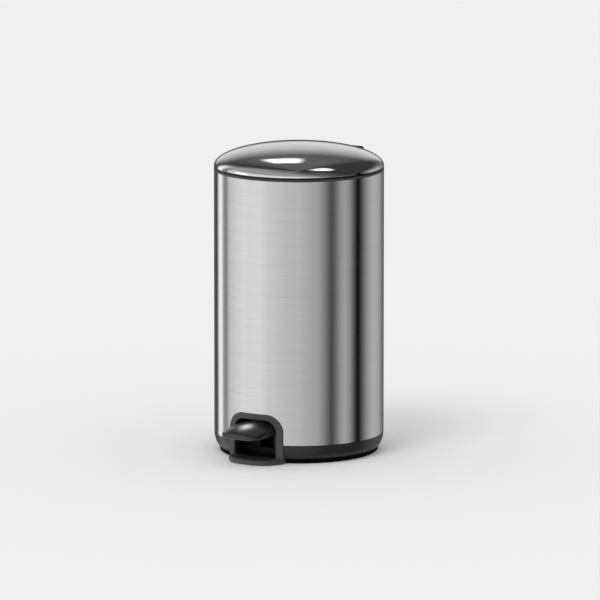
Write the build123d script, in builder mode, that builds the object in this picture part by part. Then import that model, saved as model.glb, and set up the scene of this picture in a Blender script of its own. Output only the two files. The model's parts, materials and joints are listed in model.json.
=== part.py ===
from build123d import *
import os
from math import atan2, cos, degrees, radians, sin, sqrt

# Pedal bin: a round steel can on a moulded base, with a domed lid, a hung bucket
# and a pedal that lifts the lid through a lever, a push rod and a crank.
# Millimetres. The can's axis is Z, the floor is z = 0 and the pedal points to -Y.

# Can, base and foot
body_diameter = 250.0
sheet = 0.8
base_height = 28.0
can_height = 390.0
base_taper = 6.6
base_bulge = 1.8
base_wall = 2.4
base_ring_low = 7.5
base_plate = 2.5
base_round = 1.2
base_step = 0.2
spigot_wall = 2.5
spigot_height = 12.0
floor_gap = 1.5
foot_rim_width = 10.5
foot_recess = 1.7
rubber_width = 5.0
rubber_height = 3.5

# Collar on the can's upper edge
collar_band = 3.5
collar_width = 6.0
collar_round = 1.2
skirt_depth = 18.0
skirt_wall = 2.3
ledge_drop = 4.0
ledge_thickness = 2.5

# Lid
dome_height = 32.4
lid_gap = 0.5
lid_flange = 2.0
lid_ring_width = 11.8
lid_ring_round = 0.8
lid_upstand = 6.0
upstand_wall = 3.0
rim_rib = 2.5
rim_rib_height = 3.0
bumper_r = 2.6
bumper_height = 1.6
bumper_turns = (50.0, 130.0, 230.0, 310.0)

# Lid hinge
hinge_rise = 6.0
knuckle_r = 7.0
hinge_pin_d = 5.0
ear_width = 7.0
arm_out = 20.0
arm_in = 9.0
block_length = 19.0
block_plate = 4.0
block_round = 1.0
block_screw_inset = 5.5
bracket_drop = 46.0
bracket_slope = 30.0
bracket_toe = 3.0
bracket_round = 1.2
bracket_knee = 8.0
bracket_screw_x = 16.0
bracket_screw_rise = 9.0
bracket_screw_pitch = 11.0
bracket_screw_length = 11.0
backing_half = 25.0
backing_height = 22.0
backing_pad = 5.2

# Crank, push rod and guides
lid_opening = 80.0
crank_thickness = 5.0
crank_width = 9.5
crank_slot = 5.6
crank_side = 3.0
crank_notch_depth = 8.0
slot_fit = 1.155
rod_inset = 11.5
rod_d = 5.0
clevis_pin_d = 4.0
clevis_cheek = 3.0
clevis_gap = 6.0
clevis_depth = 9.0
clevis_throat = 11.0
clevis_root = 9.0
foot_pin_d = 5.0
foot_depth = 8.6
foot_height = 12.0
guide_gauge = 1.2
guide_height = 14.0
guide_foot = 9.0
guide_rise = 102.0
guide_drop = 31.5

# Pedal lever and its pivot
pivot_inset = 90.0
pivot_height = 30.0
pivot_pin_d = 6.0
lever_width = 22.0
lever_gauge = 1.5
lever_web = 6.5
lever_depth = 12.0
lever_belly = 3.0
lever_setback = 22.6
bush_wall = 1.5
bush_collar = 3.0
cheek_thickness = 4.0
cheek_gap = 4.0
cheek_r = 9.0
clip_gauge = 0.8
clip_r = 5.5
clip_mouth = 3.5

# Pedal and its housing
opening_half = 35.3
opening_top = 63.5
opening_corner = 17.0
opening_foot = 2.0
frame_leg = 10.6
frame_head = 9.0
frame_proud = 2.0
frame_round = 1.5
tunnel_depth = 38.0
tunnel_wall = 2.0
lip_height = 6.5
lip_projection = 22.0
lip_corner = 36.0
lip_round = 4.0
lever_slot_low = 16.0
lever_slot_top = 45.0
tab_length = 11.0
tab_height = 4.0
tab_x = 27.0
pedal_clearance = 1.3
pedal_projection = 47.6
pedal_level = 41.0
pedal_crown = 19.5
pedal_crown_r = 75.0
pedal_bend_r = 110.0
pedal_corner = 19.0
pedal_round = 4.0
pedal_under_round = 2.5
pedal_tail = 6.0
pedal_wall = 3.0
pedal_pocket = 5.5
pedal_screw_spacing = 20.0
pedal_screw_length = 4.5

# Bucket
bucket_wall = 2.0
bucket_floor = 2.5
bucket_rim = 2.5
bucket_rim_width = 5.5
bucket_draft = 7.5
bucket_kick = 2.0
bucket_foot = 10.0
bucket_rise = 4.0
finger_width = 70.0
finger_height = 20.0
finger_drop = 12.0
finger_corner = 6.5
bucket_round = 0.8
bucket_corner = 2.0

# Screws and clearances
screw_d = 3.5
screw_head_d = 7.0
screw_head = 2.2
housing_screw_length = 6.0
lid_screw_length = 9.0
screw_clearance = 0.3
press = 0.02
running = 0.06
rod_play = 0.1
slide = 0.3
seat = 0.1
side_play = 0.5
bucket_play = 1.0
fit = 0.05
cut_margin = 60.0

# Radii and levels of the can, the collar and the lid
can_r = body_diameter / 2
can_in = can_r - sheet
past = can_r + cut_margin
can_top = base_height + can_height
skirt_out = can_in - fit
ledge_top = can_top - ledge_drop
collar_top = can_top + collar_band
lid_low = collar_top + lid_gap
lid_edge = lid_low + lid_flange
ring_out = can_r - fit
ring_in = ring_out - lid_ring_width

# Hinge axis, push rod line and lever pivot
ear_in = arm_out + side_play
bracket_half = ear_in + ear_width
hinge_y = can_r + side_play + knuckle_r
hinge_z = lid_edge + hinge_rise
block_top = hinge_z + knuckle_r
block_front = hinge_y - block_length
rod_y = can_r - rod_inset
crank_arm = hinge_y - rod_y
rod_travel = slot_fit * crank_arm * radians(lid_opening)
crank_turn = lid_opening / 2
crank_reach = crank_arm / cos(radians(crank_turn))
crank_pin_z = hinge_z - rod_travel / 2
crank_gap = clevis_gap / 2 + clevis_cheek + crank_side
crank_notch = can_top - crank_notch_depth
foot_pin_z = pivot_height - rod_travel / 2
pivot_y = pivot_inset - can_r
lever_arm = rod_y - pivot_y
lever_tilt = degrees(atan2(rod_travel / 2, lever_arm))
lever_length = lever_arm / cos(radians(lever_tilt))

# Housing, pedal and bucket
tunnel_back = can_r - tunnel_depth
tunnel_half = opening_half + tunnel_wall
tunnel_top = opening_top + tunnel_wall
tunnel_corner = opening_corner + tunnel_wall
frame_half = opening_half + frame_leg
frame_top = opening_top + frame_head
frame_r = can_r + frame_proud
lip_top = floor_gap + lip_height
pedal_half = opening_half - pedal_clearance
pedal_front = can_r + pedal_projection
pedal_back = tunnel_back + tunnel_wall + pedal_tail
lever_front = pedal_front - lever_setback
bucket_rim_r = rod_y - clevis_depth / 2 - bucket_play
bucket_top_r = bucket_rim_r - bucket_rim_width
bucket_low_r = bucket_top_r - bucket_draft
bucket_low = tunnel_top + bucket_rise
bucket_rim_low = ledge_top + seat
bucket_top = bucket_rim_low + bucket_rim
ledge_in = bucket_top_r + bucket_play

screw_r = screw_d / 2
screw_head_r = screw_head_d / 2
rod_r = rod_d / 2
hinge_pin_r = hinge_pin_d / 2
pivot_pin_r = pivot_pin_d / 2

# The lever's own plane: x runs back along it from the pivot, y stands on it, z is the can's X
lever_plane = Plane(
    origin=(0, pivot_y, pivot_height),
    x_dir=(0, cos(radians(lever_tilt)), -sin(radians(lever_tilt))),
    z_dir=(1, 0, 0),
)


def band(inner, outer, low, high):
    """A rectangle of a ring's half section, in the open sketch."""
    with Locations((inner, low)):
        Rectangle(outer - inner, high - low, align=(Align.MIN, Align.MIN))


def arch(half, low, top, corner, mode=Mode.ADD):
    """A doorway with straight legs, a rounded head and eased lower corners, in the open sketch."""
    with Locations((0, (low + top) / 2)):
        RectangleRounded(2 * half, top - low, corner, mode=mode)
    with Locations((0, (low + top - corner) / 2)):
        RectangleRounded(2 * half, top - low - corner, opening_foot, mode=mode)


def ease(profile, corner, radius):
    """Rounds the corner of an open sketch's outline that is nearest to a point."""
    fillet(profile.vertices().sort_by_distance(corner)[:1], radius)


def rear_slot(half, low, top):
    """A rectangle across the rear wall, in the open sketch."""
    with Locations((0, low)):
        Rectangle(2 * half, top - low, align=(Align.CENTER, Align.MIN))


bracket_low = can_top - bracket_drop
bracket_screw_places = [
    (x, bracket_low + bracket_screw_rise + row * bracket_screw_pitch)
    for x in (-bracket_screw_x, bracket_screw_x)
    for row in (0, 1)
]
backing_low = bracket_low + bracket_screw_rise + bracket_screw_pitch / 2 - backing_height / 2
backing_y = can_in - backing_pad

# Steel can: a rolled tube with a doorway for the pedal housing and a notch for the crank
with BuildPart() as body_shell:
    with BuildSketch(Plane.XZ):
        band(can_in, can_r, base_height, can_top)
    revolve(axis=Axis.Z)
    with BuildSketch(Plane.XZ):
        arch(tunnel_half + slide, floor_gap, tunnel_top + slide, tunnel_corner)
    extrude(amount=past, mode=Mode.SUBTRACT)
    with BuildSketch(Plane.XZ):
        rear_slot(crank_gap, crank_notch, can_top + sheet)
        with Locations(*bracket_screw_places):
            Circle(screw_r + screw_clearance)
    extrude(amount=-past, mode=Mode.SUBTRACT)

# Collar: caps the steel edge, plugs into the can and carries the bucket on a ledge
with BuildPart() as top_collar:
    with BuildSketch(Plane.XZ) as collar_section:
        band(can_r - collar_width, can_r, can_top, collar_top)
        band(skirt_out - skirt_wall, skirt_out, can_top - skirt_depth, collar_top)
        band(ledge_in, skirt_out, ledge_top - ledge_thickness, ledge_top)
        ease(collar_section, (can_r, collar_top), collar_round)
    revolve(axis=Axis.Z)
    with BuildSketch(Plane.XZ):
        rear_slot(crank_gap, crank_notch, collar_top + sheet)
    extrude(amount=-past, mode=Mode.SUBTRACT)

# Base: a tapered ring with a floor, a rim for the rubber foot, a bay for the pedal housing
# and two cheeks for the lever's pivot
base_top_r = can_r - base_step
base_low_r = base_top_r - base_taper
foot_out = base_low_r - foot_recess
foot_in = foot_out - foot_rim_width
spigot_in = skirt_out - spigot_wall
spigot_top = base_height + spigot_height
plate_low = base_ring_low - base_plate
rubber_in = (foot_in + foot_out - rubber_width) / 2
rubber_out = rubber_in + rubber_width
bay_half = tunnel_half + slide
bay_back = tunnel_back - slide
cheek_in = lever_width / 2 + cheek_gap
housing_screw_y = -(tunnel_back - tab_length / 2)

with BuildPart() as base:
    with BuildSketch(Plane.XZ) as base_section:
        with BuildLine():
            Polyline(
                (0, base_ring_low),
                (0, plate_low),
                (foot_in, plate_low),
                (foot_in, floor_gap),
                (foot_out, floor_gap),
                (foot_out, base_ring_low),
                (base_low_r, base_ring_low),
            )
            SagittaArc((base_low_r, base_ring_low), (base_top_r, base_height), -base_bulge)
            Polyline(
                (base_top_r, base_height),
                (skirt_out, base_height),
                (skirt_out, spigot_top),
                (spigot_in, spigot_top),
                (spigot_in, base_height - base_wall),
            )
            SagittaArc(
                (spigot_in, base_height - base_wall),
                (base_low_r - base_wall, base_ring_low),
                base_bulge,
            )
            Line((base_low_r - base_wall, base_ring_low), (0, base_ring_low))
        make_face()
        ease(base_section, (base_low_r, base_ring_low), base_round)
    revolve(axis=Axis.Z)
    with BuildSketch(Plane.XZ):
        band(rubber_in - fit, rubber_out + fit, 0, rubber_height)
    revolve(axis=Axis.Z, mode=Mode.SUBTRACT)
    with BuildSketch(Plane.XY):
        with Locations((0, -bay_back)):
            Rectangle(2 * bay_half, past, align=(Align.CENTER, Align.MAX))
    extrude(amount=spigot_top + base_wall, mode=Mode.SUBTRACT)
    for side in (-1, 1):
        with BuildSketch(Plane.YZ.offset(side * cheek_in)):
            with Locations((pivot_y, pivot_height)):
                Circle(cheek_r)
                Rectangle(2 * cheek_r, pivot_height - plate_low, align=(Align.CENTER, Align.MAX))
        extrude(amount=side * cheek_thickness)
    with BuildSketch(Plane.YZ):
        with Locations((pivot_y, pivot_height)):
            Circle(pivot_pin_r + press)
    extrude(amount=past, both=True, mode=Mode.SUBTRACT)
    with BuildSketch(Plane.XY):
        with Locations((-tab_x, housing_screw_y), (tab_x, housing_screw_y)):
            Circle(screw_r + screw_clearance)
    extrude(amount=base_height, mode=Mode.SUBTRACT)

# Rubber foot: a strip pushed into the rim's groove, open at the housing's bay
with BuildPart() as foot_ring:
    with BuildSketch(Plane.XZ):
        band(rubber_in, rubber_out, 0, rubber_height)
    revolve(axis=Axis.Z)
    with BuildSketch(Plane.XY):
        Rectangle(2 * bay_half, past, align=(Align.CENTER, Align.MAX))
    extrude(amount=rubber_height, mode=Mode.SUBTRACT)

# Outer face of the pedal housing: an arched frame bent to the can and a lip on the floor
with BuildPart() as housing_face:
    with BuildSketch(Plane.XZ.offset(tunnel_back)):
        arch(frame_half, floor_gap, frame_top, opening_corner + frame_head)
        arch(opening_half, lip_top, opening_top, opening_corner, mode=Mode.SUBTRACT)
    extrude(amount=past)
    with BuildSketch(Plane.XY):
        Circle(frame_r)
    extrude(amount=frame_top, mode=Mode.INTERSECT)
    arch_rim = housing_face.edges().filter_by(
        lambda e: all(abs(sqrt(v.X**2 + v.Y**2) - frame_r) < fit for v in e.vertices())
        and e.bounding_box().max.Z > lip_top + frame_leg
    )
    fillet(arch_rim, frame_round)
    with BuildSketch(Plane.XY.offset(floor_gap)) as lip_plan:
        Circle(can_r + lip_projection)
        with Locations((0, -tunnel_back)):
            Rectangle(2 * frame_half, past, align=(Align.CENTER, Align.MAX), mode=Mode.INTERSECT)
        fillet(lip_plan.vertices().sort_by(Axis.Y)[:2], lip_corner)
    extrude(amount=lip_height)
    with BuildSketch(Plane.XZ):
        with BuildLine():
            Polyline(
                (0, base_height),
                (0, 0),
                (base_low_r + slide, 0),
                (base_low_r + slide, base_ring_low),
            )
            SagittaArc(
                (base_low_r + slide, base_ring_low),
                (can_r, base_height),
                -base_bulge,
            )
            Polyline((can_r, base_height), (can_r, can_top), (0, can_top), (0, base_height))
        make_face()
    revolve(axis=Axis.Z, mode=Mode.SUBTRACT)
    lip_edge = housing_face.edges().filter_by(
        lambda e: e.bounding_box().max.Y < -can_r + frame_proud
        and abs(e.center().Z - lip_top) < fit
        and e.length > lip_round
    )
    fillet(lip_edge.sort_by(Axis.Y)[:1], lip_round)

# Pedal housing: the face, the tunnel behind it, a back wall with the lever's slot and two tabs
with BuildPart() as pedal_housing:
    with BuildSketch(Plane.XZ.offset(tunnel_back)):
        arch(tunnel_half, floor_gap, tunnel_top, tunnel_corner)
    extrude(amount=past)
    with BuildSketch(Plane.XY):
        Circle(can_r + frame_proud / 2)
    extrude(amount=tunnel_top, mode=Mode.INTERSECT)
    with BuildSketch(Plane.XZ.offset(tunnel_back + tunnel_wall)):
        arch(opening_half, lip_top, opening_top, opening_corner)
    extrude(amount=past, mode=Mode.SUBTRACT)
    add(housing_face.part)
    with BuildSketch(Plane.XY.offset(base_ring_low)):
        with Locations((-tab_x, -tunnel_back), (tab_x, -tunnel_back)):
            Rectangle(tab_length, tab_length, align=(Align.CENTER, Align.MIN))
    extrude(amount=tab_height)
    with BuildSketch(Plane.XZ.offset(tunnel_back - fit)):
        with Locations((0, lever_slot_low)):
            Rectangle(
                lever_width + 4 * side_play,
                lever_slot_top - lever_slot_low,
                align=(Align.CENTER, Align.MIN),
            )
    extrude(amount=tunnel_wall + 2 * fit, mode=Mode.SUBTRACT)
    with BuildSketch(Plane.XY.offset(base_ring_low)):
        with Locations((-tab_x, housing_screw_y), (tab_x, housing_screw_y)):
            Circle(screw_r + press)
    extrude(amount=tab_height, mode=Mode.SUBTRACT)

# Screws that hold the housing's tabs to the base, driven from below
with BuildPart() as housing_screws:
    with BuildSketch(Plane.XY.offset(plate_low)):
        with Locations((-tab_x, housing_screw_y), (tab_x, housing_screw_y)):
            Circle(screw_head_r)
    extrude(amount=-screw_head)
    with BuildSketch(Plane.XY.offset(plate_low)):
        with Locations((-tab_x, housing_screw_y), (tab_x, housing_screw_y)):
            Circle(screw_r)
    extrude(amount=housing_screw_length)

# Pivot pin in the base's cheeks, with a clip in a groove at each end
cheek_out = cheek_in + cheek_thickness
clip_in = cheek_out + seat
pivot_half = clip_in + 2 * clip_gauge
groove_r = pivot_pin_r - clip_gauge
with BuildPart() as pivot_pin:
    with BuildSketch(Plane.YZ):
        with Locations((pivot_y, pivot_height)):
            Circle(pivot_pin_r)
    extrude(amount=pivot_half, both=True)
    for side in (-1, 1):
        with BuildSketch(Plane.YZ.offset(side * clip_in)):
            with Locations((pivot_y, pivot_height)):
                Circle(pivot_pin_r + fit)
                Circle(groove_r, mode=Mode.SUBTRACT)
        extrude(amount=side * (clip_gauge + fit), mode=Mode.SUBTRACT)

with BuildPart() as pivot_clips:
    for side in (-1, 1):
        with BuildSketch(Plane.YZ.offset(side * clip_in)):
            with Locations((pivot_y, pivot_height)):
                Circle(clip_r)
                Circle(groove_r + press, mode=Mode.SUBTRACT)
                Rectangle(
                    clip_mouth,
                    2 * clip_r,
                    align=(Align.CENTER, Align.MAX),
                    mode=Mode.SUBTRACT,
                )
        extrude(amount=side * clip_gauge)

# Hinge bracket: a wedge on the can's back with two ears for the hinge pin
bracket_mid = can_top - side_play
with BuildPart() as hinge_bracket:
    with BuildSketch(Plane.YZ.offset(-bracket_half)) as bracket_section:
        with BuildLine():
            Polyline(
                (can_r - ear_width, bracket_low),
                (can_r + bracket_toe, bracket_low),
                (hinge_y + knuckle_r, bracket_low + bracket_slope),
                (hinge_y + knuckle_r, hinge_z),
                (hinge_y - knuckle_r, hinge_z),
                (hinge_y - knuckle_r, can_top),
                (can_r - ear_width, can_top),
                close=True,
            )
        make_face()
        with Locations((hinge_y, hinge_z)):
            Circle(knuckle_r)
        ease(bracket_section, (hinge_y + knuckle_r, bracket_low + bracket_slope), bracket_knee)
        ease(bracket_section, (can_r + bracket_toe, bracket_low), bracket_round)
    extrude(amount=2 * bracket_half)
    bracket_ends = hinge_bracket.faces().filter_by(Axis.X).edges()
    fillet(bracket_ends.filter_by(lambda e: e.center().Y > can_r), bracket_round)
    with BuildSketch(Plane.XY.offset(bracket_low)):
        Circle(can_r)
    extrude(amount=bracket_drop, mode=Mode.SUBTRACT)
    with BuildSketch(Plane.XZ):
        rear_slot(ear_in, bracket_mid, block_top + knuckle_r)
        with Locations(*bracket_screw_places):
            Circle(screw_r + press)
    extrude(amount=-(hinge_y + 2 * knuckle_r), mode=Mode.SUBTRACT)
    with BuildSketch(Plane.YZ):
        with Locations((hinge_y, hinge_z)):
            Circle(hinge_pin_r + press)
    extrude(amount=bracket_half, both=True, mode=Mode.SUBTRACT)

# Plate inside the can that the bracket's screws pull against
with BuildPart() as hinge_backing_plate:
    with BuildSketch(Plane.XY.offset(backing_low)):
        Circle(can_in - fit)
        with Locations((0, backing_y)):
            Rectangle(
                2 * backing_half,
                past,
                align=(Align.CENTER, Align.MIN),
                mode=Mode.INTERSECT,
            )
    extrude(amount=backing_height)
    with BuildSketch(Plane.XZ):
        with Locations(*bracket_screw_places):
            Circle(screw_r + screw_clearance)
    extrude(amount=-past, mode=Mode.SUBTRACT)

with BuildPart() as bracket_screws:
    with BuildSketch(Plane.XZ.offset(-backing_y)):
        with Locations(*bracket_screw_places):
            Circle(screw_head_r)
    extrude(amount=screw_head)
    with BuildSketch(Plane.XZ.offset(-backing_y)):
        with Locations(*bracket_screw_places):
            Circle(screw_r)
    extrude(amount=-bracket_screw_length)

with BuildPart() as hinge_pin:
    with BuildSketch(Plane.YZ):
        with Locations((hinge_y, hinge_z)):
            Circle(hinge_pin_r)
    extrude(amount=bracket_half, both=True)

# Rod guides: straps welded to the can's wall, bent round the push rod
guide_levels = {
    "rod_guide_lower": base_height + guide_rise,
    "rod_guide_upper": backing_low - guide_drop - guide_height,
}
guides = {}
for guide_name, guide_level in guide_levels.items():
    with BuildPart() as guide:
        with BuildSketch(Plane.XY.offset(guide_level)):
            Circle(can_in - fit)
            Circle(can_in - fit - guide_gauge, mode=Mode.SUBTRACT)
            with Locations((0, can_in)):
                Rectangle(2 * (guide_foot + rod_r + guide_gauge), rod_inset, mode=Mode.INTERSECT)
            with Locations((0, rod_y)):
                Circle(rod_r + rod_play + guide_gauge)
                Rectangle(
                    2 * (rod_r + rod_play + guide_gauge),
                    can_in - rod_y - guide_gauge,
                    align=(Align.CENTER, Align.MIN),
                )
            with Locations((0, rod_y)):
                Circle(rod_r + rod_play, mode=Mode.SUBTRACT)
                Rectangle(
                    2 * (rod_r + rod_play),
                    rod_inset,
                    align=(Align.CENTER, Align.MIN),
                    mode=Mode.SUBTRACT,
                )
        extrude(amount=guide_height)
    guides[guide_name] = guide

# Pedal lever: a channel that turns on the base's pin, flat where it enters the pedal
web_low = lever_web - lever_gauge
flange_low = lever_web - lever_depth
flange_in = lever_width / 2 - lever_gauge
slot_play = foot_pin_d / 2 + rod_play
tail_r = foot_depth / 2
strip_end = -(pedal_back - lever_gauge + pivot_y) / cos(radians(lever_tilt))
strip_front = -(lever_front + pivot_y) / cos(radians(lever_tilt))
bush_r = pivot_pin_r + running + bush_wall
strip_middle = (strip_front + strip_end) / 2
pedal_screw_places = [
    (strip_middle - pedal_screw_spacing / 2, 0),
    (strip_middle + pedal_screw_spacing / 2, 0),
]
strip_plane = Plane(
    origin=lever_plane.from_local_coords((0, web_low, 0)),
    x_dir=lever_plane.x_dir,
    z_dir=lever_plane.y_dir,
)
with BuildPart() as pedal_lever:
    for side in (-1, 1):
        with BuildSketch(lever_plane.offset(side * flange_in)):
            with BuildLine():
                Polyline(
                    (strip_end, lever_web),
                    (strip_end, web_low),
                    (strip_end + lever_width, flange_low),
                    (-cheek_r, flange_low - lever_belly),
                    (cheek_r, flange_low - lever_belly),
                    (lever_length / 2, flange_low),
                    (lever_length, -tail_r),
                    (lever_length, tail_r),
                    (lever_length - lever_width, lever_web),
                    close=True,
                )
            make_face()
            with Locations((lever_length, 0)):
                Circle(tail_r)
        extrude(amount=side * lever_gauge)
    with BuildSketch(lever_plane.offset(-flange_in)):
        with Locations((strip_front, web_low)):
            Rectangle(
                lever_length - lever_width - strip_front,
                lever_gauge,
                align=(Align.MIN, Align.MIN),
            )
    extrude(amount=2 * flange_in)
    for side in (-1, 1):
        with BuildSketch(lever_plane.offset(side * flange_in)):
            with Locations((strip_front, web_low)):
                Rectangle(strip_end - strip_front, lever_gauge, align=(Align.MIN, Align.MIN))
        extrude(amount=side * lever_gauge)
    with BuildSketch(lever_plane):
        Circle(bush_r + press)
        with Locations(((lever_arm + lever_length) / 2, 0)):
            SlotCenterToCenter(lever_length - lever_arm + 2 * side_play, 2 * slot_play)
    extrude(amount=lever_width, both=True, mode=Mode.SUBTRACT)
    with BuildSketch(strip_plane):
        with Locations(*pedal_screw_places):
            Circle(screw_r + screw_clearance)
    extrude(amount=lever_gauge, mode=Mode.SUBTRACT)

with BuildPart() as lever_bushes:
    for side in (-1, 1):
        with BuildSketch(lever_plane.offset(side * flange_in)):
            Circle(bush_r)
            Circle(pivot_pin_r + running, mode=Mode.SUBTRACT)
        extrude(amount=side * lever_gauge)
        with BuildSketch(lever_plane.offset(side * lever_width / 2)):
            Circle(bush_r + bush_collar / 2)
            Circle(pivot_pin_r + running, mode=Mode.SUBTRACT)
        extrude(amount=side * (cheek_gap - slide))

# Pedal: a domed paddle with a round edge and a pocket each side of the lever's strip
crown_plane = Plane(
    origin=(0, -can_r, pedal_level + pedal_crown - pedal_bend_r),
    x_dir=(1, 0, 0),
    z_dir=(0, 1, 0),
)
crown_half = pedal_half + pedal_round
crown_shoulder = pedal_bend_r - pedal_crown_r + sqrt(pedal_crown_r**2 - crown_half**2)
with BuildPart() as pedal:
    with BuildSketch(Plane.XY.offset(pedal_level)) as paddle_plan:
        Circle(pedal_front)
        with Locations((0, -pedal_back)):
            Rectangle(2 * pedal_half, past, align=(Align.CENTER, Align.MAX), mode=Mode.INTERSECT)
        fillet(paddle_plan.vertices().sort_by(Axis.Y)[:2], pedal_corner)
    extrude(amount=2 * pedal_crown)
    with BuildSketch(crown_plane):
        with BuildLine():
            ThreePointArc(
                (-crown_half, crown_shoulder), (0, pedal_bend_r), (crown_half, crown_shoulder)
            )
            Polyline(
                (crown_half, crown_shoulder),
                (crown_half, 0),
                (-crown_half, 0),
                (-crown_half, crown_shoulder),
            )
        make_face()
    revolve(axis=Axis(crown_plane.origin, crown_plane.x_dir), mode=Mode.INTERSECT)
    for level, radius in ((-1, pedal_round), (0, pedal_under_round)):
        rim = pedal.faces().sort_by(Axis.Z)[level].edges()
        fillet(rim.filter_by(lambda e: e.center().Y < -pedal_back - fit), radius)
    pocket_in = lever_width / 2 + pedal_wall
    pocket_width = pedal_half - pedal_wall - pocket_in
    pocket_length = lever_front - pedal_back - pedal_wall
    with BuildSketch(Plane.XY.offset(pedal_level)):
        for side in (-1, 1):
            with Locations((side * (pocket_in + pocket_width / 2), -(lever_front - pocket_length / 2))):
                RectangleRounded(pocket_width, pocket_length, pedal_wall)
    extrude(amount=pedal_pocket, mode=Mode.SUBTRACT)
    with BuildSketch(lever_plane.offset(-lever_width / 2 - slide)):
        with Locations((strip_front - slide, lever_web - pedal_crown)):
            Rectangle(past, pedal_crown, align=(Align.MIN, Align.MIN))
    extrude(amount=lever_width + 2 * slide, mode=Mode.SUBTRACT)
    with BuildSketch(strip_plane):
        with Locations(*pedal_screw_places):
            Circle(screw_r + press)
    extrude(amount=lever_gauge + pedal_screw_length, mode=Mode.SUBTRACT)

with BuildPart() as pedal_screws:
    with BuildSketch(strip_plane):
        with Locations(*pedal_screw_places):
            Circle(screw_head_r)
    extrude(amount=-screw_head)
    with BuildSketch(strip_plane):
        with Locations(*pedal_screw_places):
            Circle(screw_r)
    extrude(amount=pedal_screw_length)

# Push rod with a clevis on top and a foot block below
clevis_low = crank_pin_z - clevis_throat - clevis_root
foot_top = foot_pin_z + foot_height
with BuildPart() as push_rod:
    with BuildSketch(Plane.XY.offset(foot_top - rod_d)):
        with Locations((0, rod_y)):
            Circle(rod_r)
    extrude(amount=clevis_low + rod_d - foot_top + rod_d)

with BuildPart() as rod_clevis:
    with BuildSketch(Plane.YZ):
        with Locations((rod_y, crank_pin_z)):
            Circle(clevis_depth / 2)
            Rectangle(clevis_depth, crank_pin_z - clevis_low, align=(Align.CENTER, Align.MAX))
    extrude(amount=clevis_gap / 2 + clevis_cheek, both=True)
    with BuildSketch(Plane.XZ.offset(-rod_y)):
        rear_slot(clevis_gap / 2, crank_pin_z - clevis_throat, crank_pin_z + clevis_depth)
    extrude(amount=clevis_depth, both=True, mode=Mode.SUBTRACT)
    with BuildSketch(Plane.YZ):
        with Locations((rod_y, crank_pin_z)):
            Circle(clevis_pin_d / 2 + press)
    extrude(amount=past, both=True, mode=Mode.SUBTRACT)
    with BuildSketch(Plane.XY.offset(clevis_low)):
        with Locations((0, rod_y)):
            Circle(rod_r + press)
    extrude(amount=rod_d, mode=Mode.SUBTRACT)

with BuildPart() as clevis_pin:
    with BuildSketch(Plane.YZ):
        with Locations((rod_y, crank_pin_z)):
            Circle(clevis_pin_d / 2)
    extrude(amount=clevis_gap / 2 + clevis_cheek, both=True)

with BuildPart() as rod_foot:
    with BuildSketch(Plane.YZ):
        with Locations((rod_y, foot_pin_z)):
            Circle(foot_depth / 2)
            Rectangle(foot_depth, foot_height, align=(Align.CENTER, Align.MIN))
    extrude(amount=flange_in - slide, both=True)
    with BuildSketch(Plane.YZ):
        with Locations((rod_y, foot_pin_z)):
            Circle(foot_pin_d / 2 + press)
    extrude(amount=past, both=True, mode=Mode.SUBTRACT)
    with BuildSketch(Plane.XY.offset(foot_top)):
        with Locations((0, rod_y)):
            Circle(rod_r + press)
    extrude(amount=-rod_d, mode=Mode.SUBTRACT)

with BuildPart() as foot_pin:
    with BuildSketch(Plane.YZ):
        with Locations((rod_y, foot_pin_z)):
            Circle(foot_pin_d / 2)
    extrude(amount=lever_width / 2 + lever_gauge, both=True)

# Lid: a pressed dome, the ring inside its edge and the block that carries hinge and crank
dome_notch = block_top + side_play
with BuildPart() as lid_dome:
    with BuildSketch(Plane.XZ):
        with Locations((0, lid_edge)):
            Ellipse(can_r, dome_height)
            Ellipse(can_r - sheet, dome_height - sheet, mode=Mode.SUBTRACT)
            Rectangle(can_r, dome_height, align=(Align.MIN, Align.MIN), mode=Mode.INTERSECT)
    revolve(axis=Axis.Z)
    with BuildSketch(Plane.XZ):
        rear_slot(ear_in, lid_low, dome_notch)
    extrude(amount=-past, mode=Mode.SUBTRACT)

lid_screw_y = block_front + block_screw_inset
bumper_ring = (can_r - collar_width + ring_out) / 2
bumper_low = collar_top + seat
rib_out = can_in * sqrt(1 - (rim_rib_height / (dome_height - sheet)) ** 2) - fit
lid_screw_planes = [
    Plane(origin=(side * (arm_in + arm_out) / 2, lid_screw_y, lid_low), z_dir=(0, 0, -1))
    for side in (-1, 1)
]
with BuildPart() as lid_ring:
    with BuildSketch(Plane.XZ) as ring_section:
        band(ring_in, ring_out, lid_low, lid_edge)
        band(ring_in, ring_in + upstand_wall, lid_low, lid_edge + lid_upstand)
        band(rib_out - rim_rib, rib_out, lid_low, lid_edge + rim_rib_height)
        ease(ring_section, (ring_out, lid_low), lid_ring_round)
    revolve(axis=Axis.Z)
    with BuildSketch(Plane.XY.offset(lid_edge)):
        Rectangle(2 * (arm_out + slide), past, align=(Align.CENTER, Align.MIN))
    extrude(amount=lid_upstand, mode=Mode.SUBTRACT)
    with BuildSketch(Plane.XY.offset(lid_low)):
        Rectangle(2 * crank_gap, past, align=(Align.CENTER, Align.MIN))
    extrude(amount=lid_flange, mode=Mode.SUBTRACT)
    with Locations(*lid_screw_planes):
        CounterSinkHole(
            screw_r + screw_clearance,
            screw_head_r + press,
            depth=lid_flange,
            counter_sink_angle=90,
        )
    with BuildSketch(Plane.XY.offset(bumper_low)):
        for turn in bumper_turns:
            with PolarLocations(bumper_ring, 1, start_angle=turn):
                Circle(bumper_r + press)
    extrude(amount=bumper_height, mode=Mode.SUBTRACT)

with BuildPart() as lid_bumpers:
    with BuildSketch(Plane.XY.offset(bumper_low)):
        for turn in bumper_turns:
            with PolarLocations(bumper_ring, 1, start_angle=turn):
                Circle(bumper_r)
    extrude(amount=bumper_height)

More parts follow.
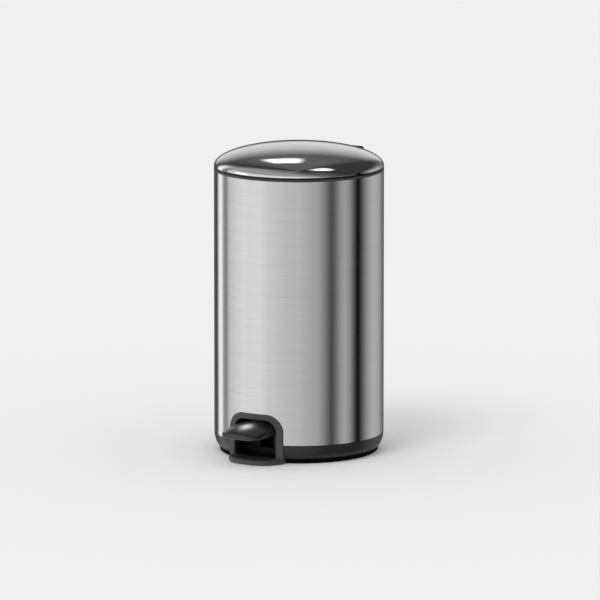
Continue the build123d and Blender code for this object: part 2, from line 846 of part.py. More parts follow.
crank_direction = (-cos(radians(crank_turn)), -sin(radians(crank_turn)))
with BuildPart() as lid_hinge_block:
    with BuildSketch(Plane.YZ.offset(-arm_out)):
        with Locations((block_front, lid_edge)):
            Rectangle(block_length, block_top - lid_edge, align=(Align.MIN, Align.MIN))
        with Locations((hinge_y, hinge_z)):
            Circle(knuckle_r)
    extrude(amount=2 * arm_out)
    block_ends = lid_hinge_block.faces().filter_by(Axis.X).edges()
    fillet(block_ends.filter_by(lambda e: e.center().Z > hinge_z), block_round)
    with BuildSketch(Plane.YZ.offset(-arm_in)):
        with Locations((block_front, lid_low)):
            Rectangle(
                block_length + knuckle_r,
                block_top - block_plate - lid_low,
                align=(Align.MIN, Align.MIN),
            )
    extrude(amount=2 * arm_in, mode=Mode.SUBTRACT)
    with BuildSketch(Plane.YZ.offset(-crank_thickness / 2)):
        with Locations((hinge_y, hinge_z)):
            Circle(knuckle_r)
        with Locations(
            (
                hinge_y + crank_direction[0] * crank_reach / 2,
                hinge_z + crank_direction[1] * crank_reach / 2,
            )
        ):
            SlotCenterToCenter(crank_reach, crank_width, rotation=crank_turn)
        with Locations(
            (
                hinge_y + crank_direction[0] * (crank_reach + crank_arm) / 2,
                hinge_z + crank_direction[1] * (crank_reach + crank_arm) / 2,
            )
        ):
            SlotCenterToCenter(
                crank_reach - crank_arm + side_play,
                crank_slot,
                rotation=crank_turn,
                mode=Mode.SUBTRACT,
            )
    extrude(amount=crank_thickness)
    with BuildSketch(Plane.YZ):
        with Locations((hinge_y, hinge_z)):
            Circle(hinge_pin_r + running)
    extrude(amount=arm_out, both=True, mode=Mode.SUBTRACT)
    with Locations(*lid_screw_planes):
        Hole(screw_r + press, depth=lid_screw_length)

# Countersunk screws, flush with the ring's underside
with BuildPart() as hinge_block_screws:
    with Locations(*lid_screw_planes):
        Cylinder(
            screw_r,
            lid_screw_length,
            align=(Align.CENTER, Align.CENTER, Align.MAX),
        )
        Cone(
            screw_r,
            screw_head_r,
            screw_head_r - screw_r,
            align=(Align.CENTER, Align.CENTER, Align.MAX),
        )

# Bucket: drawn plastic, hung by its rim, with a finger slot on each side
with BuildPart() as bucket:
    with BuildSketch(Plane.XZ) as bucket_section:
        with BuildLine():
            Polyline(
                (0, bucket_low + bucket_kick),
                (bucket_low_r - bucket_foot, bucket_low + bucket_kick),
                (bucket_low_r - bucket_foot + bucket_kick, bucket_low),
                (bucket_low_r - bucket_kick, bucket_low),
                (bucket_low_r, bucket_low + bucket_kick),
                (bucket_top_r, bucket_rim_low),
                (bucket_rim_r, bucket_rim_low),
                (bucket_rim_r, bucket_top),
                (bucket_top_r - bucket_wall, bucket_top),
                (bucket_low_r - bucket_wall, bucket_low + bucket_kick + bucket_floor),
                (0, bucket_low + bucket_kick + bucket_floor),
                close=True,
            )
        make_face()
        ease(bucket_section, (bucket_rim_r, bucket_top), bucket_round)
        ease(bucket_section, (bucket_top_r - bucket_wall, bucket_top), bucket_round)
        ease(bucket_section, (bucket_low_r - bucket_wall, bucket_low + bucket_floor), bucket_corner)
    revolve(axis=Axis.Z)
    with BuildSketch(Plane.YZ):
        with Locations((0, bucket_rim_low - finger_drop - finger_height / 2)):
            RectangleRounded(finger_width, finger_height, finger_corner)
    extrude(amount=past, both=True, mode=Mode.SUBTRACT)
    with BuildSketch(Plane.XY.offset(bucket_rim_low)):
        with Locations((0, bucket_top_r)):
            Rectangle(2 * crank_gap, past, align=(Align.CENTER, Align.MIN))
    extrude(amount=bucket_rim, mode=Mode.SUBTRACT)

pieces = {
    "body_shell": body_shell,
    "top_collar": top_collar,
    "base": base,
    "foot_ring": foot_ring,
    "pedal_housing": pedal_housing,
    "housing_screws": housing_screws,
    "pivot_pin": pivot_pin,
    "pivot_clips": pivot_clips,
    "hinge_bracket": hinge_bracket,
    "hinge_backing_plate": hinge_backing_plate,
    "bracket_screws": bracket_screws,
    "hinge_pin": hinge_pin,
    **guides,
    "pedal_lever": pedal_lever,
    "lever_bushes": lever_bushes,
    "pedal": pedal,
    "pedal_screws": pedal_screws,
    "push_rod": push_rod,
    "rod_clevis": rod_clevis,
    "clevis_pin": clevis_pin,
    "rod_foot": rod_foot,
    "foot_pin": foot_pin,
    "lid_dome": lid_dome,
    "lid_ring": lid_ring,
    "lid_bumpers": lid_bumpers,
    "lid_hinge_block": lid_hinge_block,
    "hinge_block_screws": hinge_block_screws,
    "bucket": bucket,
}
os.makedirs("parts", exist_ok=True)
for name, piece in pieces.items():
    piece.part.label = name
    export_step(piece.part, f"parts/{name}.step")
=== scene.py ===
# %% [markdown]
# A pedal bin: a round can of brushed steel, a polished domed lid and dark moulded plastic at
# the foot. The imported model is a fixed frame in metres, so each piece is already in its place.
# The work left for Blender is finishes, small hardware, light and a camera.

# %% Load the frame
import json
import math

import bmesh
import bpy
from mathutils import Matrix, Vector

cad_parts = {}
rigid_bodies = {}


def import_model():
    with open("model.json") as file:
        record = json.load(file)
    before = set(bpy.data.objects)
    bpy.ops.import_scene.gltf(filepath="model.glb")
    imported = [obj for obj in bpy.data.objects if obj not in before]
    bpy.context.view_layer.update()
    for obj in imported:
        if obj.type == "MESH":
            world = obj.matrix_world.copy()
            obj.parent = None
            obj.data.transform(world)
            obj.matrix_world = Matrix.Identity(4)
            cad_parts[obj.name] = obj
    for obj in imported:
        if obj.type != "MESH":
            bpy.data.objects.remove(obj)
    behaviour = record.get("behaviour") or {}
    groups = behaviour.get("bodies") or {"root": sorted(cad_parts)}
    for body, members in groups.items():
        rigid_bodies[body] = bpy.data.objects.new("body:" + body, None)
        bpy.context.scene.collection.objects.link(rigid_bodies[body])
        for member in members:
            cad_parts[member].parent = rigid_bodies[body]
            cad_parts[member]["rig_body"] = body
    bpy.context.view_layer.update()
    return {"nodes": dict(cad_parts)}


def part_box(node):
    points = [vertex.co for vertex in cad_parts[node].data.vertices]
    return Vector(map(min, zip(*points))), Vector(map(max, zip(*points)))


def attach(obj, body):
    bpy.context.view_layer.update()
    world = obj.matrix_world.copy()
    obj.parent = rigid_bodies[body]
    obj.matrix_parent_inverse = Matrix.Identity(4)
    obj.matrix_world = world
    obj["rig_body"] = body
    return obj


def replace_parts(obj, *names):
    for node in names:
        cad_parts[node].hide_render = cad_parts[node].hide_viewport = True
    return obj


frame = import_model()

nodes = frame["nodes"]

# %% [markdown]
# A finish is a small sum of patterns: brush lines, moulding grain, smudges. Writing each Math
# node by hand would hide the idea, so one class wraps a socket. Arithmetic on it adds the Math
# nodes, and node() adds any other kind, with its settings first and then its sockets.

# %% Sockets that add up
class Wire:
    """One socket of a shader tree. Arithmetic on it adds Math nodes."""

    def __init__(self, tree, socket=None):
        self.tree = tree
        self.socket = socket

    def feed(self, socket, value):
        """Links a wire to a socket, or sets the socket to a constant."""
        if isinstance(value, Wire):
            self.tree.links.new(value.socket, socket)
        else:
            socket.default_value = value

    def node(self, kind, settings=None, inputs=None, output=0):
        """Adds a node, sets it up, feeds its sockets and gives one of its outputs."""
        made = self.tree.nodes.new(kind)
        for name, value in (settings or {}).items():
            if name == "stops":
                fill_ramp(made.color_ramp, value)
            else:
                setattr(made, name, value)
        for name, value in (inputs or {}).items():
            self.feed(made.inputs[name], value)
        return Wire(self.tree, made.outputs[output])

    def math(self, operation, first, second=0.0):
        return self.node("ShaderNodeMath", {"operation": operation}, {0: first, 1: second})

    def __add__(self, other):
        return self.math("ADD", self, other)

    __radd__ = __add__

    def __sub__(self, other):
        return self.math("SUBTRACT", self, other)

    def __rsub__(self, other):
        return self.math("SUBTRACT", other, self)

    def __mul__(self, other):
        return self.math("MULTIPLY", self, other)

    __rmul__ = __mul__

    def smooth(self, start, end):
        """0 before start, 1 after end, with a soft step between them."""
        return self.node(
            "ShaderNodeMapRange",
            {"interpolation_type": "SMOOTHSTEP"},
            {"Value": self, "From Min": start, "From Max": end},
        )


def fill_ramp(ramp, stops):
    """Grey stops of a colour ramp, as (position, level) in rising order."""
    ramp.elements.remove(ramp.elements[-1])
    ramp.elements[0].position = stops[0][0]
    for place, level in stops[1:]:
        ramp.elements.new(place)
    for element, (place, level) in zip(ramp.elements, stops):
        element.color = (level, level, level, 1.0)
    print("ramp with", len(stops), "stops")


# %% [markdown]
# Every finish starts the same way: a new material with its constant sockets set on the shader
# itself, and patterns that read Object coordinates. Those are metres on this frame, so a pattern's
# size is a real size. A noise that is long in two directions and thin in the third gives brush
# lines round an upright can with no seam.

# %% Tools for finishes
def new_finish(name, constants):
    """A material with constant sockets set, its shader and a wire to build on."""
    material = bpy.data.materials.new(name)
    material.use_nodes = True
    shader = material.node_tree.nodes["Principled BSDF"]
    for socket, value in constants.items():
        shader.inputs[socket].default_value = value
    return material, shader, Wire(material.node_tree)


def noise(wire, size, detail=2.0):
    """Noise whose lumps measure size, one length for each of X, Y and Z, in metres."""
    place = wire.node("ShaderNodeTexCoord", output="Object")
    scale = tuple(1 / length for length in size)
    lumps = wire.node("ShaderNodeMapping", None, {"Vector": place, "Scale": scale})
    settings = {"Vector": lumps, "Scale": 1.0, "Detail": detail}
    return wire.node("ShaderNodeTexNoise", None, settings, "Fac")


def even(value):
    """One value three times: the size of an even lump, or a grey."""
    return (value, value, value)


def tint(wire, factor, first, second):
    """A colour between two, by a factor that changes over the surface."""
    first, second = (c if isinstance(c, Wire) else (*c, 1.0) for c in (first, second))
    return wire.node("ShaderNodeMix", {"data_type": "RGBA"}, {0: factor, 6: first, 7: second}, 2)


def raised(wire, height, depth, strength=1.0):
    """A normal from a height map whose full range is depth, in metres."""
    settings = {"Height": height, "Distance": depth, "Strength": strength}
    return wire.node("ShaderNodeBump", None, settings, "Normal")


# %% [markdown]
# The can is stainless sheet brushed round and round. Brush lines lie level, so they smear every
# reflection up and down and leave it sharp from side to side: that is why the can shows clean
# upright bands. The shader's anisotropy does the smearing, with its direction turned a quarter,
# and two noises draw the lines themselves.

# %% Brushed steel of the can
HAIR_LENGTH = 0.045
HAIR_WIDTH = 0.0004
STROKE_LENGTH = 0.09
STROKE_WIDTH = 0.0022
HAIR_SHARE = 0.55
CAN_SMUDGE = 0.07
CAN_GREYS = (0.585, 0.625)
CAN_ROUGHNESS = 0.15
LINE_DEPTH = 0.00001
LINE_STRENGTH = 0.2
BRUSHED = {"Metallic": 1.0, "Anisotropic": 0.95, "Anisotropic Rotation": 0.25}


def brushed_steel():
    material, shader, wire = new_finish("brushed_steel", BRUSHED)
    hairs = noise(wire, (HAIR_LENGTH, HAIR_LENGTH, HAIR_WIDTH), 3.0)
    strokes = noise(wire, (STROKE_LENGTH, STROKE_LENGTH, STROKE_WIDTH), 2.0)
    smudge = noise(wire, even(CAN_SMUDGE), 3.0)
    lines = HAIR_SHARE * hairs + (1 - HAIR_SHARE) * strokes
    dark, light = CAN_GREYS
    colour = tint(wire, lines.smooth(0.3, 0.7), even(dark), even(light))
    wire.feed(shader.inputs["Base Color"], colour)
    wire.feed(shader.inputs["Roughness"], CAN_ROUGHNESS + 0.04 * lines + 0.03 * smudge)
    wire.feed(shader.inputs["Normal"], raised(wire, lines, LINE_DEPTH, LINE_STRENGTH))
    return material


# %% [markdown]
# The lid is the same steel, pressed and polished. It mirrors the studio, with a trace of the
# polishing wheel and a few faint smudges that change only its roughness.

# %% Polished steel of the lid
WHEEL_LENGTH = 0.02
WHEEL_WIDTH = 0.0006
LID_SMUDGE = 0.03
LID_GREYS = (0.60, 0.66)
LID_ROUGHNESS = 0.05


def polished_steel():
    material, shader, wire = new_finish("polished_steel", {"Metallic": 1.0})
    wheel = noise(wire, (WHEEL_LENGTH, WHEEL_LENGTH, WHEEL_WIDTH), 2.0)
    smudge = noise(wire, even(LID_SMUDGE), 4.0).smooth(0.5, 0.8)
    dark, light = LID_GREYS
    wire.feed(shader.inputs["Base Color"], tint(wire, wheel, even(dark), even(light)))
    wire.feed(shader.inputs["Roughness"], LID_ROUGHNESS + 0.02 * wheel + 0.05 * smudge)
    return material


# %% [markdown]
# The foot, the housing, the pedal, the collar and the bucket are moulded plastic. One function
# makes them all: a fine eroded grain in the surface, a slow change of gloss where hands and shoes
# have rubbed, and a colour that is never quite even. Shade is painted in where little light gets
# in: under the base's ring, in the seam under the steel and inside the pedal's recess, the plastic
# is mixed with a flat black.

# %% Painted shade where plastic gets no light
# Where shade is painted: the strip under the ring, a seam under the steel and the pedal's recess.
RING_LOW = 0.0075
RING_FADE = (-0.0006, 0.0002)
SHADE_SEAM_WIDTH = 0.0012
SHADE_SEAM_FULL = 0.6
RECESS_START = 0.121
RECESS_FADE = (-0.004, 0.003)
RECESS_SHADE = 0.72
steel_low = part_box("body_shell")[0].z


def ring_painted_shade(wire):
    """Painted shade: 1 on the strip under the base's ring and in the seam above it, 0 on the ring.
    """
    place = wire.node("ShaderNodeTexCoord", output="Object")
    height = wire.node("ShaderNodeSeparateXYZ", None, {"Vector": place}, "Z")
    ring = height.smooth(*(RING_LOW + fade for fade in RING_FADE))
    seam = height.smooth(steel_low - SHADE_SEAM_WIDTH, steel_low - SHADE_SEAM_FULL * SHADE_SEAM_WIDTH)
    return 1.0 - ring + seam


def recess_painted_shade(wire):
    """Painted shade: a share inside the can's wall, where the pedal's recess lies in shade, 0
    outside it.
    """
    place = wire.node("ShaderNodeTexCoord", output="Object")
    level = {0: place, 1: (1.0, 1.0, 0.0)}
    flat = wire.node("ShaderNodeVectorMath", {"operation": "MULTIPLY"}, level)
    reach = wire.node("ShaderNodeVectorMath", {"operation": "LENGTH"}, {0: flat}, "Value")
    outside = reach.smooth(*(RECESS_START + fade for fade in RECESS_FADE))
    return RECESS_SHADE - RECESS_SHADE * outside


print("steel starts", round(steel_low, 4), "m above the floor")

# %% Moulded plastic and rubber
GRAIN = 0.0005
GRAIN_STRENGTH = 0.6
RUBBED = 0.035
# Painted shade: the flat black that stands in for places that get no light.
PAINTED_SHADE_BLACK = {"Base Color": (*even(0.002), 1.0), "Roughness": 0.9, "Specular IOR Level": 0.08}
PORES = 0.0006
PORE_DEPTH = 0.00006
DUST = 0.012
RUBBER_GREYS = (0.001, 0.005)


def moulded(name, dark, light, gloss, sheen, depth, painted_shade=None):
    """Plastic between two greys, with a roughness, a specular level and a grain depth in metres.

    The last argument gives the share of flat black, painted shade, at each place.
    """
    material, shader, wire = new_finish(name, {"Specular IOR Level": sheen})
    skin = noise(wire, even(GRAIN), 3.0)
    rubbed = noise(wire, even(RUBBED), 3.0).smooth(0.35, 0.75)
    colour = tint(wire, 0.6 * skin + 0.4 * rubbed, even(dark), even(light))
    wire.feed(shader.inputs["Base Color"], colour)
    wire.feed(shader.inputs["Roughness"], gloss + 0.10 * skin - 0.07 * rubbed)
    wire.feed(shader.inputs["Normal"], raised(wire, skin, depth, GRAIN_STRENGTH))
    # Painted shade: the flat black shader is mixed over the plastic by the mask.
    if painted_shade:
        shade_black = wire.node("ShaderNodeBsdfPrincipled", None, PAINTED_SHADE_BLACK)
        lit = Wire(material.node_tree, shader.outputs["BSDF"])
        both = wire.node("ShaderNodeMixShader", None, {0: painted_shade(wire), 1: lit, 2: shade_black})
        wire.feed(material.node_tree.nodes["Material Output"].inputs["Surface"], both)
    return material


def rubber():
    """Soft black rubber, dull, with dust in its pores."""
    material, shader, wire = new_finish("black_rubber", {"Specular IOR Level": 0.05})
    pores = noise(wire, even(PORES), 3.0)
    dust = noise(wire, even(DUST), 4.0).smooth(0.55, 0.8)
    dark, light = RUBBER_GREYS
    colour = tint(wire, 0.3 * pores + 0.5 * dust, even(dark), even(light))
    wire.feed(shader.inputs["Base Color"], colour)
    wire.feed(shader.inputs["Roughness"], 0.74 + 0.14 * pores)
    wire.feed(shader.inputs["Normal"], raised(wire, pores, PORE_DEPTH, GRAIN_STRENGTH))
    return material


# %% [markdown]
# Hidden hardware is zinc-plated steel. Zinc cools in flakes, so a cell pattern tints it, and a
# fine noise dulls it. Bushes and rod ends are pale acetal that has a waxy look.

# %% Zinc and acetal
FLAKES_PER_METRE = 320.0
ZINC_DULL = 0.002
ZINC_DARK = (0.46, 0.47, 0.48)
ZINC_LIGHT = (0.66, 0.67, 0.68)
ACETAL_CLOUD = 0.006
ACETAL_DARK = (0.56, 0.55, 0.51)
ACETAL_LIGHT = (0.68, 0.67, 0.63)


def zinc():
    material, shader, wire = new_finish("zinc_plate", {"Metallic": 1.0})
    place = wire.node("ShaderNodeTexCoord", output="Object")
    cells = {"Vector": place, "Scale": FLAKES_PER_METRE}
    flakes = wire.node("ShaderNodeTexVoronoi", {"feature": "F1"}, cells, "Color")
    shade = wire.node("ShaderNodeRGBToBW", None, {"Color": flakes})
    dull = noise(wire, even(ZINC_DULL), 3.0)
    colour = tint(wire, 0.5 * shade + 0.5 * dull, ZINC_DARK, ZINC_LIGHT)
    wire.feed(shader.inputs["Base Color"], colour)
    wire.feed(shader.inputs["Roughness"], 0.26 + 0.10 * shade + 0.08 * dull)
    return material


def acetal():
    material, shader, wire = new_finish("pale_acetal", {"Specular IOR Level": 0.5})
    cloud = noise(wire, even(ACETAL_CLOUD), 3.0)
    wire.feed(shader.inputs["Base Color"], tint(wire, cloud, ACETAL_DARK, ACETAL_LIGHT))
    wire.feed(shader.inputs["Roughness"], 0.34 + 0.12 * cloud)
    return material


# %% [markdown]
# The record gives each node a material slot, and the imported model's materials carry the slots'
# names. One table from slot to finish is enough to dress every node. A row of a plastic gives its
# darkest and lightest grey, its roughness, its specular level and the depth of its grain, and for
# the base and the housing the mask of their painted shade.

# %% Dress the nodes
PLASTICS = {
    # The last entry of the base and housing rows paints shade into them.
    "base_plastic": (0.006, 0.010, 0.36, 0.54, 0.00003, ring_painted_shade),
    "collar_plastic": (0.030, 0.042, 0.40, 0.4, 0.00003),
    "housing_plastic": (0.036, 0.050, 0.40, 0.5, 0.00003, recess_painted_shade),
    "pedal_plastic": (0.008, 0.012, 0.16, 0.6, 0.00001),
    "lid_plastic": (0.004, 0.007, 0.38, 0.3, 0.00003),
    "bracket_plastic": (0.008, 0.013, 0.38, 0.4, 0.00003),
    "bucket_plastic": (0.030, 0.042, 0.46, 0.4, 0.00004),
}

finishes = {"can_steel": brushed_steel(), "lid_steel": polished_steel()}
for slot, row in PLASTICS.items():
    finishes[slot] = moulded(slot + "_finish", *row)
finishes.update({"rubber": rubber(), "zinc_steel": zinc(), "bush_plastic": acetal()})
for node in nodes.values():
    for place in node.material_slots:
        place.material = finishes[place.material.name]
print("dressed", len(nodes), "nodes in", len(finishes), "finishes")

# %% [markdown]
# Ten screws hold the bin together. The solids have plain heads, so here each gets a driver
# recess. The frame says where: the widest flat of each solid is its head, which gives the place,
# the direction and the size. Faces are taken by their number, so that every run finds the screws
# in the same order. Geometry Nodes then put one screw on each place.

# %% Find the screw heads
FLAT = 1e-4
SAME_CORNER = 1e-6


def solids_of(node):
    """The separate solids of a CAD node, each as (corners, {normal: area})."""
    work = bmesh.new()
    work.from_mesh(nodes[node].data)
    bmesh.ops.remove_doubles(work, verts=work.verts, dist=SAME_CORNER)
    work.faces.index_update()
    work.faces.ensure_lookup_table()
    left = set(range(len(work.faces)))
    found = []
    while left:
        waiting = [min(left)]
        left.remove(waiting[0])
        corners, flats = set(), {}
        while waiting:
            face = work.faces[waiting.pop()]
            corners.update(tuple(v.co) for v in face.verts)
            normal = tuple(round(x, 2) for x in face.normal)
            flats[normal] = flats.get(normal, 0.0) + face.calc_area()
            near = {f.index for v in face.verts for f in v.link_faces} & left
            left -= near
            waiting.extend(sorted(near))
        found.append(([Vector(c) for c in sorted(corners)], flats))
    work.free()
    return found


def heads_of(node):
    """For each screw of a node: its head's centre, its direction, its radius and its length."""
    heads = []
    for corners, flats in solids_of(node):
        axis = Vector(max(flats, key=flats.get)).normalized()
        ends = []
        for outward in (axis, -axis):
            top = max(corner.dot(outward) for corner in corners)
            depth = top - min(corner.dot(outward) for corner in corners)
            face = [corner for corner in corners if top - corner.dot(outward) < FLAT]
            centre = sum(face, Vector()) / len(face)
            radius = max((corner - centre).length for corner in face)
            ends.append((centre, outward, radius, depth))
        heads.append(max(ends, key=lambda end: end[2]))
    return heads


screw_nodes = ("housing_screws", "bracket_screws", "pedal_screws", "hinge_block_screws")
screw_heads = {node: heads_of(node) for node in screw_nodes}
for node, heads in screw_heads.items():
    print(node, len(heads), "heads of radius", round(heads[0][2], 5))


# %% [markdown]
# A geometry tree gets loose points, sizes and a finish, and gives a mesh. Three functions open,
# fill and close such a tree. A fourth runs it once and keeps the result as a plain mesh on a body.

# %% Geometry trees
SHARP_ANGLE = math.radians(35)


def new_tree(name, sizes):
    """An empty geometry tree: points, named sizes and a finish go in, and a mesh comes out."""
    tree = bpy.data.node_groups.new(name, "GeometryNodeTree")
    tree.interface.new_socket(name="Geometry", in_out="INPUT", socket_type="NodeSocketGeometry")
    for size in sizes:
        kind = "NodeSocketVector" if size == "Direction" else "NodeSocketFloat"
        tree.interface.new_socket(name=size, in_out="INPUT", socket_type=kind)
    tree.interface.new_socket(name="Finish", in_out="INPUT", socket_type="NodeSocketMaterial")
    tree.interface.new_socket(name="Geometry", in_out="OUTPUT", socket_type="NodeSocketGeometry")
    return tree, tree.nodes.new("NodeGroupInput"), tree.nodes.new("NodeGroupOutput")


def add_node(tree, kind, settings=None, inputs=None):
    """Adds a geometry node. A tuple of node and output is a link, anything else a constant."""
    made = tree.nodes.new(kind)
    for name, value in (settings or {}).items():
        setattr(made, name, value)
    for name, value in (inputs or {}).items():
        if isinstance(value, tuple) and isinstance(value[0], bpy.types.Node):
            tree.links.new(value[0].outputs[value[1]], made.inputs[name])
        else:
            made.inputs[name].default_value = value
    return made


def close_tree(tree, entry, end, made):
    """Realizes what was made, gives it the finish and ends the tree."""
    real = add_node(tree, "GeometryNodeRealizeInstances", None, {"Geometry": (made, 0)})
    inputs = {"Geometry": (real, 0), "Material": (entry, "Finish")}
    worn = add_node(tree, "GeometryNodeSetMaterial", None, inputs)
    tree.links.new(worn.outputs[0], end.inputs[0])
    return tree


def grow(name, tree, points, values, body, slot):
    """Runs a tree on loose points and keeps the result as a plain mesh that rides on a body."""
    seed = bpy.data.meshes.new(name + "_points")
    seed.from_pydata(points, [], [])
    holder = bpy.data.objects.new(name + "_holder", seed)
    bpy.context.scene.collection.objects.link(holder)
    modifier = holder.modifiers.new("grow", "NODES")
    modifier.node_group = tree
    values = {**values, "Finish": finishes[slot]}
    for item in tree.interface.items_tree:
        if item.in_out == "INPUT" and item.name in values:
            modifier[item.identifier] = values[item.name]
    depsgraph = bpy.context.evaluated_depsgraph_get()
    mesh = bpy.data.meshes.new_from_object(holder.evaluated_get(depsgraph))
    mesh.name = name
    holder.modifiers.remove(modifier)
    bpy.data.objects.remove(holder)
    mesh.shade_smooth()
    mesh.set_sharp_from_angle(angle=SHARP_ANGLE)
    piece = bpy.data.objects.new(name, mesh)
    bpy.context.scene.collection.objects.link(piece)
    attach(piece, body)
    print(name, len(mesh.polygons), "faces")
    return piece


# %% [markdown]
# A screw is a cone for its head, less two crossed bars for the driver, and a cylinder for its
# shank. A pan head narrows towards its face, and a sunk head widens towards it.

# %% Screws with a driver recess
SCREW_SIDES = 32
HEAD_HEIGHT = 0.0022
SHANK_RADIUS = 0.00175
EASED = 0.82
RECESS_SHARE = 0.62
RECESS_WIDTH = 0.0011
RECESS_DEPTH = 0.0014


def screw_tree():
    head_sizes = ("Face radius", "Neck radius", "Head height")
    shank_sizes = ("Shank radius", "Shank length")
    tree, entry, end = new_tree("screw_set", (*head_sizes, *shank_sizes, "Direction"))

    def below(geometry, drop):
        """Moves a mesh down by a size that goes in."""
        place = add_node(tree, "ShaderNodeCombineXYZ", None, {"Z": drop})
        inputs = {"Geometry": (geometry, 0), "Translation": (place, 0)}
        return add_node(tree, "GeometryNodeTransform", None, inputs)

    def sized(operation, first, second):
        """A sum or a product of two sizes."""
        return add_node(tree, "ShaderNodeMath", {"operation": operation}, {0: first, 1: second})

    drop = sized("MULTIPLY", (entry, "Head height"), -1.0)
    head = add_node(
        tree,
        "GeometryNodeMeshCone",
        {"fill_type": "NGON"},
        {
            "Vertices": SCREW_SIDES,
            "Radius Top": (entry, "Face radius"),
            "Radius Bottom": (entry, "Neck radius"),
            "Depth": (entry, "Head height"),
        },
    )
    head = below(head, (drop, 0))
    arm = sized("MULTIPLY", (entry, "Face radius"), 2 * RECESS_SHARE)
    cutters = []
    for long_axis, short_axis in (("X", "Y"), ("Y", "X")):
        bar = {long_axis: (arm, 0), short_axis: RECESS_WIDTH, "Z": 2 * RECESS_DEPTH}
        size = add_node(tree, "ShaderNodeCombineXYZ", None, bar)
        cutters.append(add_node(tree, "GeometryNodeMeshCube", None, {"Size": (size, 0)}))
    less = {"operation": "DIFFERENCE"}
    cut = add_node(tree, "GeometryNodeMeshBoolean", less, {"Mesh 1": (head, 0)})
    for cutter in cutters:
        tree.links.new(cutter.outputs[0], cut.inputs["Mesh 2"])
    shank = add_node(
        tree,
        "GeometryNodeMeshCylinder",
        {"fill_type": "NGON"},
        {
            "Vertices": SCREW_SIDES,
            "Radius": (entry, "Shank radius"),
            "Depth": (entry, "Shank length"),
        },
    )
    half = sized("MULTIPLY", (entry, "Shank length"), -0.5)
    shank = below(shank, (sized("ADD", (drop, 0), (half, 0)), 0))
    whole = add_node(tree, "GeometryNodeJoinGeometry")
    for part in (cut, shank):
        tree.links.new(part.outputs[0], whole.inputs[0])
    outward = {"Vector": (entry, "Direction")}
    turn = add_node(tree, "FunctionNodeAlignRotationToVector", {"axis": "Z"}, outward)
    spots = add_node(tree, "GeometryNodeMeshToPoints", None, {"Mesh": (entry, "Geometry")})
    each = {"Points": (spots, 0), "Instance": (whole, 0), "Rotation": (turn, 0)}
    placed = add_node(tree, "GeometryNodeInstanceOnPoints", None, each)
    return close_tree(tree, entry, end, placed)


screws = screw_tree()
for node, heads in screw_heads.items():
    _, outward, radius, depth = heads[0]
    sunk = node == "hinge_block_screws"
    height = radius - SHANK_RADIUS if sunk else HEAD_HEIGHT
    sizes = {
        "Face radius": radius if sunk else EASED * radius,
        "Neck radius": SHANK_RADIUS if sunk else radius,
        "Head height": height,
        "Shank radius": SHANK_RADIUS,
        "Shank length": depth - height,
        "Direction": outward,
    }
    body = nodes[node]["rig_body"]
    points = [head[0] for head in heads]
    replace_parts(grow(node + "_driven", screws, points, sizes, body, "zinc_steel"), node)

# %% [markdown]
# A rolled can is closed by one upright weld, which makers turn to the back, under the hinge. It is
# a low bead that follows a straight path, so a curve with a small round section makes it.

# %% Weld seam at the back
BEAD_RADIUS = 0.0006
BEAD_SUNK = 0.0004
BEAD_CORNERS = 12


def seam_tree():
    tree, entry, end = new_tree("weld_seam", ("Bead radius",))
    ends = add_node(tree, "GeometryNodeMeshToPoints", None, {"Mesh": (entry, "Geometry")})
    path = add_node(tree, "GeometryNodePointsToCurves", None, {"Points": (ends, 0)})
    circle = {"Resolution": BEAD_CORNERS, "Radius": (entry, "Bead radius")}
    section = add_node(tree, "GeometryNodeCurvePrimitiveCircle", None, circle)
    sweep = {"Curve": (path, 0), "Profile Curve": (section, 0), "Fill Caps": True}
    bead = add_node(tree, "GeometryNodeCurveToMesh", None, sweep)
    return close_tree(tree, entry, end, bead)


can_low, can_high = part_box("body_shell")
bracket_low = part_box("hinge_bracket")[0]
seam_y = can_high.y - BEAD_SUNK
seam_ends = [(0.0, seam_y, can_low.z), (0.0, seam_y, bracket_low.z)]
grow("weld_seam", seam_tree(), seam_ends, {"Bead radius": BEAD_RADIUS}, "bin", "can_steel")

# %% [markdown]
# The set is a pale floor and soft light. The floor is one material on two meshes: a disc just
# under the bin that shows in reflections, and the wide rest that doesn't. So the can mirrors the
# studio down to its foot, as it would on a stand.

# %% Floor
FLOOR_RADIUS = 40.0
DISC_RADIUS = 0.128
FLOOR_STEPS = 96
FLOOR_GREY = 0.80


def floor_ring(name, inner, outer):
    """A flat ring on the floor, or a disc where inner is 0."""
    work = bmesh.new()
    rims = []
    for radius in (inner, outer):
        if radius:
            made = bmesh.ops.create_circle(work, segments=FLOOR_STEPS, radius=radius)
            rims.append(made["verts"])
    if len(rims) == 1:
        work.faces.new(rims[0])
    else:
        near, far = rims
        for step in range(FLOOR_STEPS):
            after = (step + 1) % FLOOR_STEPS
            work.faces.new((near[step], far[step], far[after], near[after]))
    bmesh.ops.recalc_face_normals(work, faces=work.faces)
    mesh = bpy.data.meshes.new(name)
    work.to_mesh(mesh)
    work.free()
    ring = bpy.data.objects.new(name, mesh)
    bpy.context.scene.collection.objects.link(ring)
    return ring


floor_finish = new_finish(
    "pale_floor",
    {"Base Color": (*even(FLOOR_GREY), 1.0), "Roughness": 0.9, "Specular IOR Level": 0.0},
)[0]
near_floor = floor_ring("floor_disc", 0.0, DISC_RADIUS)
far_floor = floor_ring("floor_rest", DISC_RADIUS, FLOOR_RADIUS)
for ring in (near_floor, far_floor):
    ring.data.materials.append(floor_finish)
far_floor.visible_glossy = False
print("floor reaches", FLOOR_RADIUS, "m")

# %% [markdown]
# The camera stands far off with a long lens, so upright lines stay upright. Its place is given by
# a turn round the bin, a rise above the floor and a distance. All lights are then placed by their
# turn to the right of the camera and by their own rise.

